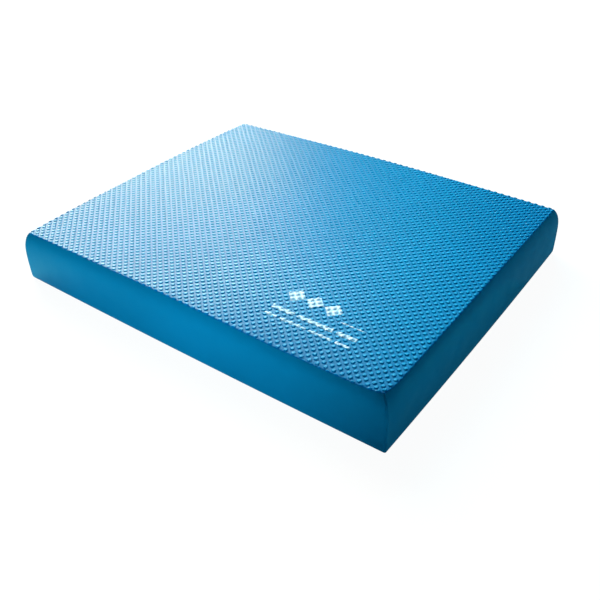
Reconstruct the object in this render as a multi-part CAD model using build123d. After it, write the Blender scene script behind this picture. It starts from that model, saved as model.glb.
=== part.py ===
from build123d import *
import os

# Balance pad: a thick block of closed-cell foam with a moulded skin.
# Millimetres. X runs along the long edge, Y along the short edge, Z is up.
# The origin is on the floor, under the middle of the pad.

# ---- overall size -------------------------------------------------------------------
LENGTH = 500.0              # along X, at the widest part of the bulging walls
WIDTH = 410.0               # along Y, at the widest part of the bulging walls
HEIGHT = 65.0               # over the bumps of both treads

# ---- shape of the walls -------------------------------------------------------------
WALL_BULGE = 7.0            # how far a wall stands out between its two edges
BULGE_POWER = 2.25          # 2 is an ellipse, more is squarer
EDGE_BOW = 1.5              # how far the middle of an edge stands out past its corners

# ---- the moulded skin ---------------------------------------------------------------
BUMP_HEIGHT = 1.0           # bumps of the tread, above the lanes between them
TREAD_SKIN = 2.0            # tread skin under the bumps
WALL_SKIN = 2.0             # smooth skin of the four walls

# ---- the printed mark, near the front right corner -----------------------------------
INK_DEPTH = 0.3
MARK_LEFT = 84.0            # the whole mark lies between these two in X
MARK_RIGHT = 182.0
DIAMOND_COUNT = 3
DIAMOND_SIZE = 21.0         # across its points
DIAMOND_PITCH = 22.0
DIAMOND_Y = -122.5
RULE_WIDTH = 1.2
RULE_Y = -134.0
RULE_START = 154.0
UPPER_BARS_Y = -149.0       # two rows of plain bars under the diamonds
UPPER_BAR_WIDTH = 5.0
UPPER_BARS = (26.0, 40.0, 22.0)
LOWER_BARS_Y = -161.0
LOWER_BAR_WIDTH = 3.0
LOWER_BARS = (14.0, 30.0, 26.0, 16.0)

# ---- worked out from the above --------------------------------------------------------
FACE_HALF_X = LENGTH / 2 - WALL_BULGE - EDGE_BOW      # corners of the tread faces
FACE_HALF_Y = WIDTH / 2 - WALL_BULGE - EDGE_BOW
FOAM_BOTTOM = BUMP_HEIGHT                             # outside of the skin, between bumps
FOAM_TOP = HEIGHT - BUMP_HEIGHT
CORE_BOTTOM = FOAM_BOTTOM + TREAD_SKIN
CORE_TOP = FOAM_TOP - TREAD_SKIN
WALL_LEVELS = 9             # sections that a wall is lofted through
TREAD_LEVELS = 4            # sections of the thin rim of a tread


def bulge_at(z):
    """How far the walls stand out from the edge of the tread faces at height z."""
    from_middle = abs(2 * (z - FOAM_BOTTOM) / (FOAM_TOP - FOAM_BOTTOM) - 1)
    return WALL_BULGE * (1 - min(from_middle, 1.0) ** BULGE_POWER) ** (1 / BULGE_POWER)


def corner(side, z, inset):
    """The corner of the pad's outline after the given side, counted anticlockwise from the front."""
    half_x = FACE_HALF_X + bulge_at(z) - inset
    half_y = FACE_HALF_Y + bulge_at(z) - inset
    sign_x, sign_y = ((-1, -1), (1, -1), (1, 1), (-1, 1))[side % 4]
    return Vector(sign_x * half_x, sign_y * half_y, z)


def edge(side, z, inset):
    """One bowed edge of the outline: side 0 is the front, 1 right, 2 back, 3 left."""
    start = corner(side, z, inset)
    end = corner(side + 1, z, inset)
    outward = (Vector(0, -1, 0), Vector(1, 0, 0), Vector(0, 1, 0), Vector(-1, 0, 0))[side]
    return ThreePointArc(start, (start + end) * 0.5 + outward * EDGE_BOW, end)


def outline(z, inset=0.0):
    """The whole plan of the pad at height z: four bowed edges that meet at sharp corners."""
    return Face(Wire([edge(side, z, inset) for side in range(4)]))


def wall_section(side, z):
    """A level cut through one wall's skin, mitred where it meets the next wall at a corner."""
    outer = edge(side, z, 0.0)
    inner = edge(side, z, WALL_SKIN)
    mitres = [Line(outer @ end, inner @ end) for end in (0, 1)]
    return Face(Wire([outer, mitres[1], inner, mitres[0]]))


def levels(bottom, top, count):
    return [bottom + (top - bottom) * i / (count - 1) for i in range(count)]


def foam_core():
    """The block of foam inside the skin."""
    return loft([outline(z, WALL_SKIN) for z in levels(CORE_BOTTOM, CORE_TOP, WALL_LEVELS)])


def wall_skin(side):
    """The smooth bulging skin of one wall, between the two treads."""
    return loft([wall_section(side, z) for z in levels(CORE_BOTTOM, CORE_TOP, WALL_LEVELS)])


def tread_skin(inner, outer, bump_tops):
    """The patterned skin of a face: its rim follows the walls, and its bumps stand on it."""
    rim = loft([outline(z) for z in levels(inner, outer, TREAD_LEVELS)])
    bumps = extrude(outline(outer), amount=bump_tops - outer, dir=(0, 0, 1))
    return rim + bumps


def bar_row(y, width, lengths):
    """A row of plain bars that fills the width of the mark with equal gaps."""
    gap = (MARK_RIGHT - MARK_LEFT - sum(lengths)) / (len(lengths) - 1)
    bars = []
    start = MARK_LEFT
    for length in lengths:
        bars.append(Pos(start + length / 2, y, 0) * Rectangle(length, width))
        start += length + gap
    return bars


def printed_mark():
    """Plain white ink on the top tread: three diamonds, a rule and two rows of bars."""
    side = DIAMOND_SIZE / 2 ** 0.5
    shapes = []
    for i in range(DIAMOND_COUNT):
        x = MARK_LEFT + DIAMOND_SIZE / 2 + i * DIAMOND_PITCH
        shapes.append(Pos(x, DIAMOND_Y, 0) * Rot(0, 0, 45) * Rectangle(side, side))
    rule = Rectangle(MARK_RIGHT - RULE_START, RULE_WIDTH)
    shapes.append(Pos((RULE_START + MARK_RIGHT) / 2, RULE_Y, 0) * rule)
    shapes += bar_row(UPPER_BARS_Y, UPPER_BAR_WIDTH, UPPER_BARS)
    shapes += bar_row(LOWER_BARS_Y, LOWER_BAR_WIDTH, LOWER_BARS)
    inks = [Pos(0, 0, HEIGHT - INK_DEPTH) * extrude(shape, amount=INK_DEPTH) for shape in shapes]
    return [ink.solid() for ink in inks]


def build():
    """Every piece of the pad by its node name."""
    inks = printed_mark()
    top = tread_skin(CORE_TOP, FOAM_TOP, HEIGHT)
    for ink in inks:
        top -= ink
    parts = {
        "foam_core": foam_core(),
        "top_tread_skin": top,
        "bottom_tread_skin": tread_skin(CORE_BOTTOM, FOAM_BOTTOM, 0.0),
        "printed_mark": Compound(children=inks),
    }
    for side, name in enumerate(("front", "right", "back", "left")):
        parts[f"{name}_wall_skin"] = wall_skin(side)
    return parts


os.makedirs("parts", exist_ok=True)
for node, shape in build().items():
    export_step(shape, f"parts/{node}.step")
    size = shape.bounding_box().size
    print(f"{node}: {size.X:.1f} x {size.Y:.1f} x {size.Z:.1f} mm, {shape.volume / 1000:.1f} cm3")
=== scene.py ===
import math

import bmesh
import bpy
import numpy as np
from mathutils import Matrix, Vector


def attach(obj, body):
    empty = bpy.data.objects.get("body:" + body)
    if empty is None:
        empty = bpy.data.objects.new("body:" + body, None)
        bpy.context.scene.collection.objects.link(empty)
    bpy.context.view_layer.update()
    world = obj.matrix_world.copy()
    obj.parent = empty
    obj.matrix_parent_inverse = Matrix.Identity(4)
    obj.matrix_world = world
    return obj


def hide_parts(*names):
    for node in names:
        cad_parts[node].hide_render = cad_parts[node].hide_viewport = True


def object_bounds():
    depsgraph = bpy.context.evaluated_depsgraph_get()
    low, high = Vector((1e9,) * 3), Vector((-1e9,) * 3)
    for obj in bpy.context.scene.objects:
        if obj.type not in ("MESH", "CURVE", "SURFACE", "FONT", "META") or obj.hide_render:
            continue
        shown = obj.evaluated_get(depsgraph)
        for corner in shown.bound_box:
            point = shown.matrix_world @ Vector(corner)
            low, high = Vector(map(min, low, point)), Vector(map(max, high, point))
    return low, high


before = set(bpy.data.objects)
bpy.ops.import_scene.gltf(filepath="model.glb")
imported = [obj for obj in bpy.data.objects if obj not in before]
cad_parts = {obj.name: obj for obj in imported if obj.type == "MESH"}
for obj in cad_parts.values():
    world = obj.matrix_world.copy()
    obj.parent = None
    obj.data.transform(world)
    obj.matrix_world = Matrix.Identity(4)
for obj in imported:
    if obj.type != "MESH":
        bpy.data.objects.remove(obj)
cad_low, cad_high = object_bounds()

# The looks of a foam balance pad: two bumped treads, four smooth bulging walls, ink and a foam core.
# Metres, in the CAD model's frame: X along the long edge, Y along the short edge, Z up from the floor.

MM = 0.001

# ---- the body, from the CAD box ---------------------------------------------------------
HEIGHT = cad_high.z
WALL_BULGE = 7.0 * MM           # how far a wall stands out between its two edges
BULGE_SQUARE = 5.0              # more keeps a wall flatter between its edges
BULGE_LEVEL = 0.56              # under 1 puts the widest level below the middle
SHOULDER_TOP = 0.85             # near 1 a wall leaves the tread's edge at a slope, near 0 level with it
SHOULDER_BOTTOM = 0.33
EDGE_BOW = 1.5 * MM             # how far the middle of an edge stands out past its corners
FACE_X = (cad_high.x - cad_low.x) / 2 - WALL_BULGE - EDGE_BOW
FACE_Y = (cad_high.y - cad_low.y) / 2 - WALL_BULGE - EDGE_BOW
CORNER_RADIUS = 2.0 * MM        # of a wall's corner, where the wall is widest
CORNER_DROP = 2.5 * MM          # the top face is this much lower at its corners
NEAR_TUCK = 4.0 * MM            # the top of the front right corner is squeezed in by this
NEAR_TUCK_REACH = 10.3 * MM
FRONT_SAG = 3.0 * MM            # the front edge sags a little, right of its middle
FRONT_SAG_X = 138.0 * MM
FRONT_SAG_REACH = 98.0 * MM
FRONT_SAG_DEPTH = 30.0 * MM
CREASE_DEPTH = 0.9 * MM         # groove where two walls meet, gone towards the floor
CREASE_WIDTH = 1.6 * MM
SKIN = 2.0 * MM

# ---- the tread ----------------------------------------------------------------------------
BUMP_PITCH = 6.15 * MM          # bumps stand on a square grid
BUMP_TURN = math.radians(46.0)  # and the grid is turned by this from the long edge
BUMP_SIDES = 8                  # two for each corner of the cell that a bump stands in
BUMP_RADIUS = 2.45 * MM
BUMP_HEIGHT = 1.0 * MM
BUMP_SHOULDER = 0.66            # where a bump's rounded top turns into its steep side, as a share
BUMP_SHOULDER_HEIGHT = 0.88     # and how high up that is, as a share
BUMP_OVERHANG = 0.4 * MM        # how far a bump on the tread's edge stands out past it
RIM_ROUND = 0.9 * MM            # rounding of the tread's edge
RIM_STEP = 0.3 * RIM_ROUND      # its middle point lies this far in from the edge and this far down
RIM_BUMP_SHARE = 0.5            # how much of their height bumps keep at that point
TREAD_DEPTH = 2.2 * MM          # how far the tread's edge goes down behind the wall


def wall_bulge(level):
    """Bulge at a level, from 0 at the bottom edge to 1 at the top edge, as a share of the largest."""
    from_widest = np.abs(2 * np.power(level, BULGE_LEVEL) - 1)
    shoulder = SHOULDER_BOTTOM + (SHOULDER_TOP - SHOULDER_BOTTOM) * level
    return np.power(np.clip(1 - np.power(from_widest, BULGE_SQUARE), 0, 1), shoulder)


def settle(points, share):
    """Moves points by how the soft foam has settled; share is 1 at the top face and 0 at the floor."""
    x, y, z = points.T
    near = NEAR_TUCK * share * np.exp(-np.hypot(x - FACE_X, y + FACE_Y) / NEAR_TUCK_REACH)
    across = np.clip(np.abs(x) / FACE_X, 0, 1) ** 2 * np.clip(np.abs(y) / FACE_Y, 0, 1) ** 2
    sag = np.exp(-((x - FRONT_SAG_X) / FRONT_SAG_REACH) ** 2)
    sag = sag * np.exp(-np.clip(y + FACE_Y, 0, None) / FRONT_SAG_DEPTH)
    drop = CORNER_DROP * across + FRONT_SAG * sag
    return np.stack([x - near, y + near, z - drop * share], -1)


def face_points(flat):
    """Puts points of a flat rectangle on the bowed outline of a tread face."""
    u, v, z = flat.T
    bow_x = EDGE_BOW * (1 - (v / FACE_Y) ** 2) / FACE_X
    bow_y = EDGE_BOW * (1 - (u / FACE_X) ** 2) / FACE_Y
    return np.stack([u * (1 + bow_x), v * (1 + bow_y), z], -1)


def add_object(name, data):
    obj = bpy.data.objects.new(name, data)
    bpy.context.scene.collection.objects.link(obj)
    return obj


def mesh_object(name, vertices, faces, smooth=True):
    mesh = bpy.data.meshes.new(name)
    mesh.from_pydata(vertices.tolist(), [], [list(face) for face in faces])
    mesh.validate()
    if smooth:
        mesh.shade_smooth()
    return add_object(name, mesh)


# ---- treads ---------------------------------------------------------------------------------
def bump_cell():
    """One cell of the tread: offsets and heights of its own points, and its triangles.

    Its own points are the bump's top, a ring at the shoulder and a ring at the foot. The four after
    them are the cell's corners, which it shares with its neighbours.
    """
    angles = np.arange(BUMP_SIDES) * 2 * math.pi / BUMP_SIDES
    ring = np.stack([np.cos(angles), np.sin(angles)], -1)
    offsets = np.concatenate([[[0, 0]], ring * BUMP_SHOULDER, ring]) * BUMP_RADIUS
    heights = np.array([1.0] + [BUMP_SHOULDER_HEIGHT] * BUMP_SIDES + [0.0] * BUMP_SIDES)
    top, shoulder, foot, corners = 0, 1, 1 + BUMP_SIDES, 1 + 2 * BUMP_SIDES
    triangles = []
    for k in range(BUMP_SIDES):
        after = (k + 1) % BUMP_SIDES
        triangles.append((top, shoulder + k, shoulder + after))
        triangles.append((shoulder + k, foot + k, foot + after))
        triangles.append((shoulder + k, foot + after, shoulder + after))
    for side in range(4):
        corner = corners + side
        next_corner = corners + (side + 1) % 4
        first, middle, last = (foot + (2 * side + k) % BUMP_SIDES for k in (1, 2, 3))
        triangles.append((first, corner, middle))
        triangles.append((middle, corner, next_corner))
        triangles.append((middle, next_corner, last))
    return offsets, heights, np.array(triangles)


FIELD_MARGIN = 0.75 * BUMP_PITCH    # centres of bumps go this far past the face, and are trimmed later


def bump_field():
    """The bumps over a little more than a tread face: flat points with z from 0 to 1, and triangles."""
    along = np.array([math.cos(BUMP_TURN), math.sin(BUMP_TURN)])
    across = np.array([-along[1], along[0]])
    reach = int(math.hypot(FACE_X, FACE_Y) / BUMP_PITCH) + 2
    i, j = (grid.ravel() for grid in np.meshgrid(range(-reach, reach), range(-reach, reach)))
    centres = ((i + 0.5)[:, None] * along + (j + 0.5)[:, None] * across) * BUMP_PITCH
    used = (np.abs(centres) < np.array([FACE_X, FACE_Y]) + FIELD_MARGIN).all(1)
    i, j, centres = i[used], j[used], centres[used]

    offsets, heights, triangles = bump_cell()
    turned = offsets[:, :1] * along + offsets[:, 1:] * across
    own = (centres[:, None] + turned).reshape(-1, 2)
    own = np.column_stack([own, np.tile(heights, len(centres))])

    corner_steps = np.array([(1, 1), (0, 1), (0, 0), (1, 0)])
    keys = (np.stack([i, j], -1)[:, None] + corner_steps).reshape(-1, 2)
    corners, index = np.unique(keys, axis=0, return_inverse=True)
    shared = (corners[:, :1] * along + corners[:, 1:] * across) * BUMP_PITCH
    shared = np.column_stack([shared, np.zeros(len(shared))])

    cell_points = np.arange(len(own)).reshape(len(centres), -1)
    cell_points = np.column_stack([cell_points, len(own) + index.reshape(len(centres), 4)])
    return np.concatenate([own, shared]), cell_points[:, triangles].reshape(-1, 3)


CUT_DISTANCE = 1e-7             # points this near to a cut count as on it
RIM_DISTANCE = 1e-6             # and points this near to the rim count as on it
LEVEL_NORMAL = 0.99999          # a face whose normal's Z is above this is level
SHOULDER_DISTANCE = 1e-4        # of a bump height


def cut(bm, point, normal):
    """Keeps what lies behind a plane."""
    everything = bm.verts[:] + bm.edges[:] + bm.faces[:]
    bmesh.ops.bisect_plane(
        bm, geom=everything, plane_co=point, plane_no=normal, dist=CUT_DISTANCE, clear_outer=True)


def rim_loop(bm, edges, inner, outer, height, kept):
    """Grows a row of faces out of a border, to another distance from the face's edge and another height.

    kept is the share of their height that bumps keep where they run over the rim.
    """
    grown = bmesh.ops.extrude_edge_only(bm, edges=edges)["geom"]
    for vert in (g for g in grown if isinstance(g, bmesh.types.BMVert)):
        raised = max(vert.co.z, 0.0)
        for axis, half in enumerate((FACE_X, FACE_Y)):
            if abs(vert.co[axis]) > half - inner - RIM_DISTANCE:
                vert.co[axis] = math.copysign(half - outer + BUMP_OVERHANG * raised, vert.co[axis])
        vert.co.z = height + kept * raised
    return [g for g in grown if isinstance(g, bmesh.types.BMEdge) and g.is_boundary]


def sharpen_bumps(bm):
    """Marks the foot and the shoulder of every bump as sharp, so that its side shades as a side."""
    bm.normal_update()
    for edge in bm.edges:
        level_sides = [face.normal.z > LEVEL_NORMAL for face in edge.link_faces]
        at_foot = any(level_sides) and not all(level_sides)
        at_shoulder = all(abs(vert.co.z - BUMP_SHOULDER_HEIGHT) < SHOULDER_DISTANCE for vert in edge.verts)
        edge.smooth = not (at_foot or at_shoulder)


def flat_tread():
    """The trimmed tread as a mesh that is still flat, with z in bump heights and 0 in the lanes."""
    points, triangles = bump_field()
    mesh = bpy.data.meshes.new("flat_tread")
    mesh.from_pydata(points.tolist(), [], triangles.tolist())
    bm = bmesh.new()
    bm.from_mesh(mesh)
    for sign in (-1, 1):
        cut(bm, (sign * (FACE_X - RIM_ROUND), 0, 0), (sign, 0, 0))
        cut(bm, (0, sign * (FACE_Y - RIM_ROUND), 0), (0, sign, 0))
    sharpen_bumps(bm)
    border = [edge for edge in bm.edges if edge.is_boundary]
    border = rim_loop(bm, border, RIM_ROUND, RIM_STEP, -RIM_STEP / BUMP_HEIGHT, RIM_BUMP_SHARE)
    border = rim_loop(bm, border, RIM_STEP, 0.0, -RIM_ROUND / BUMP_HEIGHT, 0.0)
    border = rim_loop(bm, border, 0.0, RIM_STEP, -TREAD_DEPTH / BUMP_HEIGHT, 0.0)
    back = bmesh.ops.edgeloop_fill(bm, edges=border)["faces"]
    bmesh.ops.triangulate(bm, faces=back)
    bmesh.ops.recalc_face_normals(bm, faces=bm.faces)
    for face in bm.faces:
        face.smooth = True
    bm.to_mesh(mesh)
    bm.free()
    return mesh


def mesh_points(mesh):
    points = np.empty(len(mesh.vertices) * 3)
    mesh.vertices.foreach_get("co", points)
    return points.reshape(-1, 3)


def place_tread(points, top=True):
    """Puts points of the flat tread on the pad's top, or turns them over to its underside."""
    placed = points.copy()
    placed[:, 2] = HEIGHT + BUMP_HEIGHT * (placed[:, 2] - 1)
    placed = face_points(placed)
    if not top:
        placed[:, 2] = HEIGHT - placed[:, 2]
    return settle(placed, 1.0 if top else 0.0)


def lean_shading(mesh, chosen, lean):
    """Leans the shading of a mesh upwards at the chosen points, which then look flatter than they are."""
    normals = np.empty(len(mesh.loops) * 3)
    mesh.corner_normals.foreach_get("vector", normals)
    normals = normals.reshape(-1, 3)
    vertex = np.empty(len(mesh.loops), dtype=int)
    mesh.loops.foreach_get("vertex_index", vertex)
    normals[chosen[vertex]] += [0.0, 0.0, lean]
    normals /= np.linalg.norm(normals, axis=1, keepdims=True)
    mesh.normals_split_custom_set(normals.tolist())


def tread_object(name, flat, top):
    mesh = flat.copy()
    points = mesh_points(mesh)
    mesh.vertices.foreach_set("co", place_tread(points, top).ravel())
    if not top:
        mesh.flip_normals()
    raised = mesh.attributes.new("bump", "FLOAT", "POINT")
    raised.data.foreach_set("value", np.clip(points[:, 2], 0, 1).astype(np.float32))
    mesh.update()
    return add_object(name, mesh)


# ---- walls ------------------------------------------------------------------------------------
WALL_TURNS = {"front": 0, "right": 1, "back": 2, "left": 3}   # quarter turns from the front
WALL_TOP = HEIGHT - BUMP_HEIGHT - 0.8 * RIM_ROUND    # near the foot of the tread's rounding
WALL_BOTTOM = 0.1 * MM
WALL_COUNTS = (161, 33)         # points along a wall and up it
WALL_CROWDING = 1.25            # over 1 puts more of them near the corners
CREASE_SLOPE = 1.6              # the groove's share is slope times level less start: whole at the top,
CREASE_START = 0.6              # and gone a little below the middle
CORE_COUNTS = (41, 13)
CORE_CHAMFER = 0.25             # radians left out at both ends of the half turn that spaces the levels
CORE_INSET = SKIN * 1.2


def wall_points(side, along, level, inset):
    """Points of a wall: along is -1 to 1 between its corners, level 0 to 1 up it, inset into the foam."""
    turns = WALL_TURNS[side]
    half, out = (FACE_X, FACE_Y) if turns % 2 == 0 else (FACE_Y, FACE_X)
    share = wall_bulge(level)
    from_corner = (1 - np.abs(along)) * half
    crease_share = np.clip(CREASE_SLOPE * level - CREASE_START, 0, 1)
    crease = CREASE_DEPTH * np.exp(-(from_corner / CREASE_WIDTH) ** 2) * crease_share
    bulge = WALL_BULGE * share - inset - crease
    radius = CORNER_RADIUS * share
    straight = 1 - CORNER_RADIUS / (half + WALL_BULGE)
    turn = np.clip((np.abs(along) - straight) / (1 - straight), 0, 1) * math.pi / 4
    corner = half + bulge - radius
    on_straight = np.abs(along) / straight * corner
    on_corner = corner + radius * np.sin(turn)
    x = np.sign(along) * np.where(np.abs(along) < straight, on_straight, on_corner)
    y = -(out + bulge - radius + radius * np.cos(turn) + EDGE_BOW * (1 - along ** 2))
    z = WALL_BOTTOM + (WALL_TOP - WALL_BOTTOM) * level
    for _ in range(turns):
        x, y = -y, x
    points = np.stack([x, y, z], -1).reshape(-1, 3)
    return settle(points, level.ravel())


def wall_object(side):
    """The skin of one wall: an outer and an inner sheet, joined all round."""
    count_along, count_up = WALL_COUNTS
    along = np.linspace(-1, 1, count_along)
    along = np.sign(along) * (1 - (1 - np.abs(along)) ** WALL_CROWDING)
    level = (1 - np.cos(np.linspace(0, math.pi, count_up))) / 2
    along, level = np.meshgrid(along, level)
    vertices = np.concatenate([wall_points(side, along, level, inset) for inset in (0.0, SKIN)])
    index = np.arange(count_along * count_up).reshape(count_up, count_along)
    quads = np.stack([index[:-1, :-1], index[:-1, 1:], index[1:, 1:], index[1:, :-1]], -1).reshape(-1, 4)
    inner = quads[:, ::-1] + index.size
    border = np.concatenate([index[0, :-1], index[:-1, -1], index[-1, :0:-1], index[:0:-1, 0]])
    after = np.roll(border, -1)
    edge = np.stack([after, border, border + index.size, after + index.size], -1)
    return mesh_object(f"{side}_wall", vertices, np.concatenate([quads, inner, edge]))


def core_object():
    """The foam inside the skin, as one closed block."""
    count_along, count_up = CORE_COUNTS
    along = np.linspace(-1, 1, count_along)[:-1]
    level = (1 - np.cos(np.linspace(CORE_CHAMFER, math.pi - CORE_CHAMFER, count_up))) / 2
    along, level = np.meshgrid(along, level)
    rings = [wall_points(side, along, level, CORE_INSET) for side in WALL_TURNS]
    rows = np.concatenate([ring.reshape(count_up, -1, 3) for ring in rings], axis=1)
    around = rows.shape[1]
    index = np.arange(rows.shape[0] * around).reshape(rows.shape[0], around)
    following = np.roll(index, -1, axis=1)
    quads = np.stack([index[:-1], following[:-1], following[1:], index[1:]], -1).reshape(-1, 4)
    faces = quads.tolist() + [index[0, ::-1].tolist(), index[-1].tolist()]
    return mesh_object("foam_block", rows.reshape(-1, 3), faces, smooth=False)


# ---- the printed mark -----------------------------------------------------------------------
INK_THICKNESS = 0.12 * MM
INK_LIFT = 0.03 * MM
INK_FLATNESS = 1.0              # how much the shading of the ink leans towards a flat sheet's
MARK_LEFT, MARK_RIGHT = 84.0 * MM, 182.0 * MM
DIAMOND_COUNT, DIAMOND_SIZE, DIAMOND_PITCH, DIAMOND_Y = 3, 21.0 * MM, 22.0 * MM, -122.5 * MM
RULE_START, RULE_WIDTH, RULE_Y = 154.0 * MM, 1.2 * MM, -134.0 * MM
BAR_ROWS = (
    (-149.0 * MM, 5.0 * MM, (26.0 * MM, 40.0 * MM, 22.0 * MM)),
    (-161.0 * MM, 3.0 * MM, (14.0 * MM, 30.0 * MM, 26.0 * MM, 16.0 * MM)),
)


def bar(left, right, y, width):
    half = width / 2
    return [(left, y - half), (right, y - half), (right, y + half), (left, y + half)]


def mark_shapes():
    """The mark's convex outlines, anticlockwise: diamonds, a rule and two rows of plain bars."""
    half = DIAMOND_SIZE / 2
    shapes = []
    for i in range(DIAMOND_COUNT):
        x, y = MARK_LEFT + half + i * DIAMOND_PITCH, DIAMOND_Y
        shapes.append([(x, y - half), (x + half, y), (x, y + half), (x - half, y)])
    shapes.append(bar(RULE_START, MARK_RIGHT, RULE_Y, RULE_WIDTH))
    for y, width, lengths in BAR_ROWS:
        gap = (MARK_RIGHT - MARK_LEFT - sum(lengths)) / (len(lengths) - 1)
        left = MARK_LEFT
        for length in lengths:
            shapes.append(bar(left, left + length, y, width))
            left += length + gap
    return shapes


def ink_object(flat):
    """Ink that lies on the tread: each outline is cut out of the tread's own surface and lifted off it."""
    points = mesh_points(flat)
    triangles = np.array([face.vertices for face in flat.polygons if len(face.vertices) == 3])
    triangles = triangles[(points[triangles][:, :, 2] >= 0).all(1)]
    middle = points[triangles].mean(1)
    joined = bmesh.new()
    for shape in mark_shapes():
        low, high = np.min(shape, axis=0) - BUMP_PITCH, np.max(shape, axis=0) + BUMP_PITCH
        chosen = triangles[((middle[:, :2] > low) & (middle[:, :2] < high)).all(1)]
        used, index = np.unique(chosen, return_inverse=True)
        mesh = bpy.data.meshes.new("ink_shape")
        mesh.from_pydata(points[used].tolist(), [], index.reshape(-1, 3).tolist())
        bm = bmesh.new()
        bm.from_mesh(mesh)
        for start, end in zip(shape, shape[1:] + shape[:1]):
            cut(bm, (*start, 0), (end[1] - start[1], start[0] - end[0], 0))
        bm.to_mesh(mesh)
        bm.free()
        joined.from_mesh(mesh)
        bpy.data.meshes.remove(mesh)
    placed = place_tread(np.array([vert.co[:] for vert in joined.verts]))
    for vert, place in zip(joined.verts, placed):
        vert.co = place
    joined.normal_update()
    for vert in joined.verts:
        vert.co += vert.normal * INK_LIFT
    bmesh.ops.solidify(joined, geom=joined.faces[:], thickness=-INK_THICKNESS)
    mesh = bpy.data.meshes.new("white_mark")
    joined.to_mesh(mesh)
    joined.free()
    mesh.shade_smooth()
    outside = np.array([vertex.normal.z > 0 for vertex in mesh.vertices])
    lean_shading(mesh, outside, INK_FLATNESS)
    return add_object("white_mark", mesh)


# ---- materials -------------------------------------------------------------------------------
class Nodes:
    """Short calls for building a material's nodes."""

    def __init__(self, name):
        self.material = bpy.data.materials.new(name)
        self.material.use_nodes = True
        self.tree = self.material.node_tree
        self.shader = self.tree.nodes["Principled BSDF"]
        self.place = self.tree.nodes.new("ShaderNodeTexCoord").outputs["Object"]

    def link(self, output, socket):
        self.tree.links.new(output, socket)

    def noise(self, scale, detail=2.0, roughness=0.5):
        node = self.tree.nodes.new("ShaderNodeTexNoise")
        node.inputs["Scale"].default_value = scale
        node.inputs["Detail"].default_value = detail
        node.inputs["Roughness"].default_value = roughness
        self.link(self.place, node.inputs["Vector"])
        return node.outputs["Fac"]

    def cells(self, scale):
        node = self.tree.nodes.new("ShaderNodeTexVoronoi")
        node.feature = "SMOOTH_F1"
        node.inputs["Scale"].default_value = scale
        self.link(self.place, node.inputs["Vector"])
        return node.outputs["Distance"]

    def attribute(self, name):
        node = self.tree.nodes.new("ShaderNodeAttribute")
        node.attribute_name = name
        return node.outputs["Fac"]

    def larger(self, first, second):
        node = self.tree.nodes.new("ShaderNodeMath")
        node.operation = "MAXIMUM"
        self.link(first, node.inputs[0])
        self.link(second, node.inputs[1])
        return node.outputs[0]

    def spread(self, value, low, high, to_low, to_high):
        """Stretches a value from one range to another."""
        node = self.tree.nodes.new("ShaderNodeMapRange")
        ends = {"From Min": low, "From Max": high, "To Min": to_low, "To Max": to_high}
        for socket, number in ends.items():
            node.inputs[socket].default_value = number
        self.link(value, node.inputs["Value"])
        return node.outputs["Result"]

    def mix(self, factor, first, second):
        """A colour between two, each a colour or another node's output."""
        node = self.tree.nodes.new("ShaderNodeMix")
        node.data_type = "RGBA"
        self.link(factor, node.inputs["Factor"])
        for name, value in (("A", first), ("B", second)):
            socket = [s for s in node.inputs if s.name == name and s.type == "RGBA"][0]
            if isinstance(value, tuple):
                socket.default_value = (*value, 1.0)
            else:
                self.link(value, socket)
        return [s for s in node.outputs if s.type == "RGBA"][0]

    def bump(self, height, distance, strength, under=None):
        node = self.tree.nodes.new("ShaderNodeBump")
        node.inputs["Distance"].default_value = distance
        node.inputs["Strength"].default_value = strength
        self.link(height, node.inputs["Height"])
        if under is not None:
            self.link(under, node.inputs["Normal"])
        return node.outputs["Normal"]

    def finish(self, colour, roughness, normal, **sockets):
        self.link(colour, self.shader.inputs["Base Color"])
        self.link(roughness, self.shader.inputs["Roughness"])
        self.link(normal, self.shader.inputs["Normal"])
        for name, value in sockets.items():
            self.shader.inputs[name.replace("_", " ")].default_value = value
        return self.material


TREAD_DARK, TREAD_PALE = (0.000, 0.094, 0.279), (0.000, 0.104, 0.305)
TREAD_SPECKLE = (0.002, 0.182, 0.445)
TREAD_PAINTED_TOP_LIGHT = (0.001, 0.225, 0.510)    # painted light: the bumps' tops and upper sides are painted paler than the lanes, as if more light fell on them
TREAD_SHEEN = (0.02, 0.66, 1.0, 1.0)    # seen straight on, the skin's reflections are blue
LANE_SHINE, TOP_SHINE = 0.18, 0.42      # a bump's top is glossier than the lanes, and its side gets no reflection at all, a painted shade that darkens the side
WALL_DARK, WALL_PALE = (0.000, 0.142, 0.276), (0.000, 0.158, 0.306)
WALL_SPECKLE = (0.000, 0.195, 0.352)
WALL_SHEEN = (0.06, 0.66, 1.0, 1.0)
WALL_SHINE = 0.32
INK_DARK, INK_PALE = (0.38, 0.48, 0.70), (0.43, 0.53, 0.76)
CORE_DARK, CORE_PALE = (0.0, 0.20, 0.48), (0.02, 0.27, 0.58)


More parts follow.
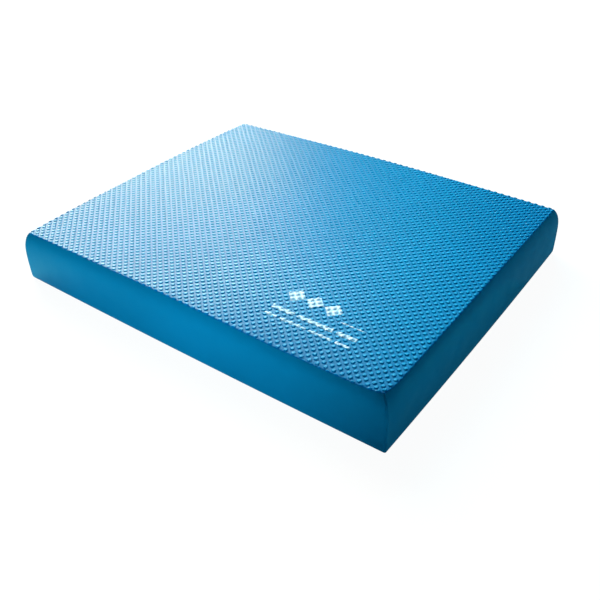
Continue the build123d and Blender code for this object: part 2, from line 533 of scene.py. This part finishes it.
def tread_material():
    n = Nodes("tread_foam_skin")
    cloudy = n.spread(n.noise(11.0, 3.0), 0.35, 0.65, 0.0, 1.0)
    base = n.mix(cloudy, TREAD_DARK, TREAD_PALE)
    speckled = n.spread(n.noise(900.0, 2.0), 0.42, 0.62, 0.0, 0.22)
    base = n.mix(speckled, base, TREAD_SPECKLE)
    raised = n.attribute("bump")
    # Painted light: mixes the bumps' tops and upper sides towards a paler blue, lighter than the lanes
    # between them
    base = n.mix(n.spread(raised, 0.0, 0.3, 0.0, 0.55), base, TREAD_PAINTED_TOP_LIGHT)
    # Painted shade: the sides between a bump's foot and shoulder get no specular reflection, so they stay
    # dark
    lane_shine = n.spread(raised, 0.0, 0.08, LANE_SHINE, 0.0)
    top_shine = n.spread(raised, 0.6, 0.9, 0.0, TOP_SHINE)
    n.link(n.larger(lane_shine, top_shine), n.shader.inputs["Specular IOR Level"])
    rough = n.spread(n.noise(60.0, 3.0), 0.3, 0.7, 0.375, 0.420)
    grain = n.bump(n.cells(2100.0), 0.05 * MM, 0.25)
    return n.finish(base, rough, grain, Specular_Tint=TREAD_SHEEN)


def wall_material():
    n = Nodes("wall_foam_skin")
    cloudy = n.spread(n.noise(9.0, 3.0), 0.35, 0.65, 0.0, 1.0)
    base = n.mix(cloudy, WALL_DARK, WALL_PALE)
    speckled = n.spread(n.noise(1100.0, 2.0), 0.42, 0.62, 0.0, 0.12)
    base = n.mix(speckled, base, WALL_SPECKLE)
    rough = n.spread(n.noise(45.0, 3.0), 0.3, 0.7, 0.35, 0.45)
    soft = n.bump(n.noise(55.0, 2.0), 0.35 * MM, 0.2)
    grain = n.bump(n.cells(2600.0), 0.03 * MM, 0.2, under=soft)
    return n.finish(base, rough, grain, Specular_Tint=WALL_SHEEN, Specular_IOR_Level=WALL_SHINE)


def ink_material():
    n = Nodes("white_ink")
    patchy = n.spread(n.noise(300.0, 3.0), 0.35, 0.6, 0.0, 1.0)
    base = n.mix(patchy, INK_DARK, INK_PALE)
    rough = n.spread(n.noise(500.0, 2.0), 0.3, 0.7, 0.45, 0.6)
    grain = n.bump(n.noise(1500.0, 2.0), 0.04 * MM, 0.3)
    return n.finish(base, rough, grain)


def core_material():
    n = Nodes("closed_cell_foam")
    base = n.mix(n.spread(n.cells(900.0), 0.0, 0.6, 0.0, 1.0), CORE_DARK, CORE_PALE)
    rough = n.spread(n.noise(200.0, 2.0), 0.3, 0.7, 0.75, 0.9)
    return n.finish(base, rough, n.bump(n.cells(900.0), 0.4 * MM, 0.8))


# ---- the pieces ---------------------------------------------------------------------------------
def own(obj, material, node, slot, fill=None):
    """Gives a piece its material and its place in the frame."""
    obj.data.materials.append(material)
    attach(obj, "root")
    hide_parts(node)


FOAM_FILL = 1.0
flat = flat_tread()
tread, wall = tread_material(), wall_material()
own(tread_object("top_tread", flat, top=True), tread, "top_tread_skin", "tread_skin", FOAM_FILL)
own(tread_object("bottom_tread", flat, top=False), tread, "bottom_tread_skin", "tread_skin", FOAM_FILL)
walls = {side: wall_object(side) for side in WALL_TURNS}
for side, piece in walls.items():
    own(piece, wall, f"{side}_wall_skin", "wall_skin", FOAM_FILL)
own(core_object(), core_material(), "foam_core", "foam", FOAM_FILL)
own(ink_object(flat), ink_material(), "printed_mark", "ink")


# ---- floor, lights and camera ---------------------------------------------------------------------
STUDIO_CYAN = (0.10, 0.80, 1.0)     # of the sky and of the light that the floor sends up
SKY_STRENGTH = 0.21
SWEEP_RADIUS = 6.0              # the floor is flat to here and then curves up all round
SWEEP_CURVE = 3.0
SWEEP_AROUND, SWEEP_UP = 96, 13     # points round the floor and up its curve
FLOOR_GLOW, FLOOR_SHADE = 0.955, 0.08
BOUNCE_DEPTH = 0.5 * MM
BOUNCE_GLOW, BOUNCE_SHADE = 0.23, 0.62
CARD_CORNERS = ((0.15, 0.12, 0.0), (1.5, 0.12, 0.0), (1.5, 2.0, 0.0), (0.15, 2.0, 0.0))
CARD_GLOW = 0.42                # the card dims what the far end of the right wall mirrors
CARD_COLOUR = (0.13, 0.68, 0.95)


def sweep_mesh():
    """A round floor whose rim curves up into a wall, as a studio's sweep does."""
    profile = [(SWEEP_RADIUS / 2, 0.0)]
    for a in np.linspace(0, math.pi / 2, SWEEP_UP):
        profile.append((SWEEP_RADIUS + SWEEP_CURVE * math.sin(a), SWEEP_CURVE * (1 - math.cos(a))))
    profile.append((SWEEP_RADIUS + SWEEP_CURVE, 4 * SWEEP_CURVE))
    angles = np.linspace(0, 2 * math.pi, SWEEP_AROUND, endpoint=False)
    points = np.array([[r * math.cos(a), r * math.sin(a), z] for r, z in profile for a in angles])
    index = np.arange(len(points)).reshape(-1, SWEEP_AROUND)
    following = np.roll(index, -1, axis=1)
    quads = np.stack([index[:-1], index[1:], following[1:], following[:-1]], -1).reshape(-1, 4)
    return points, quads.tolist() + [index[0].tolist()]


def pale_material(name, glow, shade, colour=(1.0, 1.0, 1.0)):
    """A matt surface that is partly lit and partly glows, so that it has no dark shadows."""
    n = Nodes(name)
    bright, dim = (tuple(shade * share * channel for channel in colour) for share in (1.0, 0.98))
    base = n.mix(n.noise(3.0, 2.0), bright, dim)
    rough = n.spread(n.noise(5.0), 0.3, 0.7, 0.8, 0.9)
    grain = n.bump(n.noise(400.0), 0.02 * MM, 0.05)
    n.shader.inputs["Emission Color"].default_value = (*colour, 1.0)
    return n.finish(base, rough, grain, Emission_Strength=glow, Specular_IOR_Level=0.0)


def add_floor():
    """The floor the camera sees, one under it that only the pad sees, and a card seen in reflections only."""
    seen = mesh_object("floor", *sweep_mesh())
    seen.data.materials.append(pale_material("pale_floor", FLOOR_GLOW, FLOOR_SHADE))
    seen.visible_diffuse = seen.visible_glossy = seen.visible_shadow = False
    half = SWEEP_RADIUS
    corners = np.array([(-half, -half, 0), (half, -half, 0), (half, half, 0), (-half, half, 0)])
    corners = corners - np.array([0, 0, BOUNCE_DEPTH])
    bounce = mesh_object("bounce_floor", corners, [(0, 1, 2, 3)], smooth=False)
    bounce.data.materials.append(pale_material("bounce_floor", BOUNCE_GLOW, BOUNCE_SHADE, STUDIO_CYAN))
    bounce.visible_camera = bounce.visible_shadow = False
    card = mesh_object("card", np.array(CARD_CORNERS), [(0, 1, 2, 3)], smooth=False)
    card.data.materials.append(pale_material("card", CARD_GLOW, 0.0, CARD_COLOUR))
    card.visible_camera = card.visible_diffuse = card.visible_shadow = False


def direction(azimuth, elevation):
    """Unit vector towards a point seen at these angles; azimuth 0 is the front, -Y, and 90 is +X."""
    a, e = math.radians(azimuth), math.radians(elevation)
    return Vector((math.sin(a) * math.cos(e), -math.cos(a) * math.cos(e), math.sin(e)))


def add_softbox(name, place, aim, size, power, colour=(1.0, 1.0, 1.0), only_gloss=False):
    """A square lamp; only_gloss lets it show in reflections and light nothing else."""
    light = bpy.data.lights.new(name, "AREA")
    light.shape = "SQUARE"
    light.size = size
    light.energy = power
    light.color = colour
    lamp = add_object(name, light)
    lamp.location = place
    lamp.visible_diffuse = not only_gloss
    lamp.rotation_euler = (Vector(place) - Vector(aim)).to_track_quat("Z", "Y").to_euler()
    return lamp


def spare(lamp, pieces):
    """Keeps a lamp's light off some pieces."""
    spared = bpy.data.collections.new(f"{lamp.name}_spared")
    for piece in pieces:
        spared.objects.link(piece)
    for entry in spared.collection_objects:
        entry.light_linking.link_state = "EXCLUDE"
    lamp.light_linking.receiver_collection = spared


def add_sky():
    world = bpy.data.worlds.new("studio")
    world.use_nodes = True
    background = world.node_tree.nodes["Background"]
    background.inputs["Color"].default_value = (*STUDIO_CYAN, 1.0)
    background.inputs["Strength"].default_value = SKY_STRENGTH
    bpy.context.scene.world = world


CAMERA_PLACE = Vector((0.4540, -0.5950, 0.4862))
CAMERA_AZIMUTH, CAMERA_ELEVATION, CAMERA_ROLL = 37.03, 35.81, -1.5
CAMERA_LENS, CAMERA_SENSOR = 43.43, 36.0    # millimetres, as Blender takes them
CAMERA_CLIP = 0.01


def add_camera():
    camera = add_object("camera", bpy.data.cameras.new("camera"))
    camera.data.lens = CAMERA_LENS
    camera.data.sensor_width = CAMERA_SENSOR
    camera.data.clip_start = CAMERA_CLIP
    back = direction(CAMERA_AZIMUTH, CAMERA_ELEVATION)
    right = Vector((0, 0, 1)).cross(back).normalized()
    axes = Matrix((right, back.cross(right), back)).transposed()
    roll = Matrix.Rotation(math.radians(CAMERA_ROLL), 3, "Z")
    camera.matrix_world = Matrix.Translation(CAMERA_PLACE) @ (axes @ roll).to_4x4()
    bpy.context.scene.camera = camera


add_floor()
add_sky()
MIDDLE = (0.0, 0.0, 0.0)
key = add_softbox("key_light", place=direction(-121.2, 33.4) * 2.0, aim=MIDDLE,
                  size=1.31, power=111.0, colour=(1.0, 0.95, 0.70))
spare(key, [walls["back"], walls["left"]])
add_softbox("haze_light", place=direction(-152.6, 39.7) * 3.0, aim=MIDDLE,
            size=1.02, power=59.0, colour=(0.0, 0.80, 1.0))
add_softbox("fill_light", place=(0.24, -0.65, 0.12), aim=(-1.0, -0.65, 0.12),
            size=0.28, power=5.1, colour=(0.15, 0.88, 1.0))
add_softbox("corner_light", place=(-0.287, -0.237, -0.024), aim=(-0.235, -0.205, 0.015),
            size=0.04, power=0.014, only_gloss=True)
add_camera()
bpy.context.scene.view_settings.view_transform = "Standard"
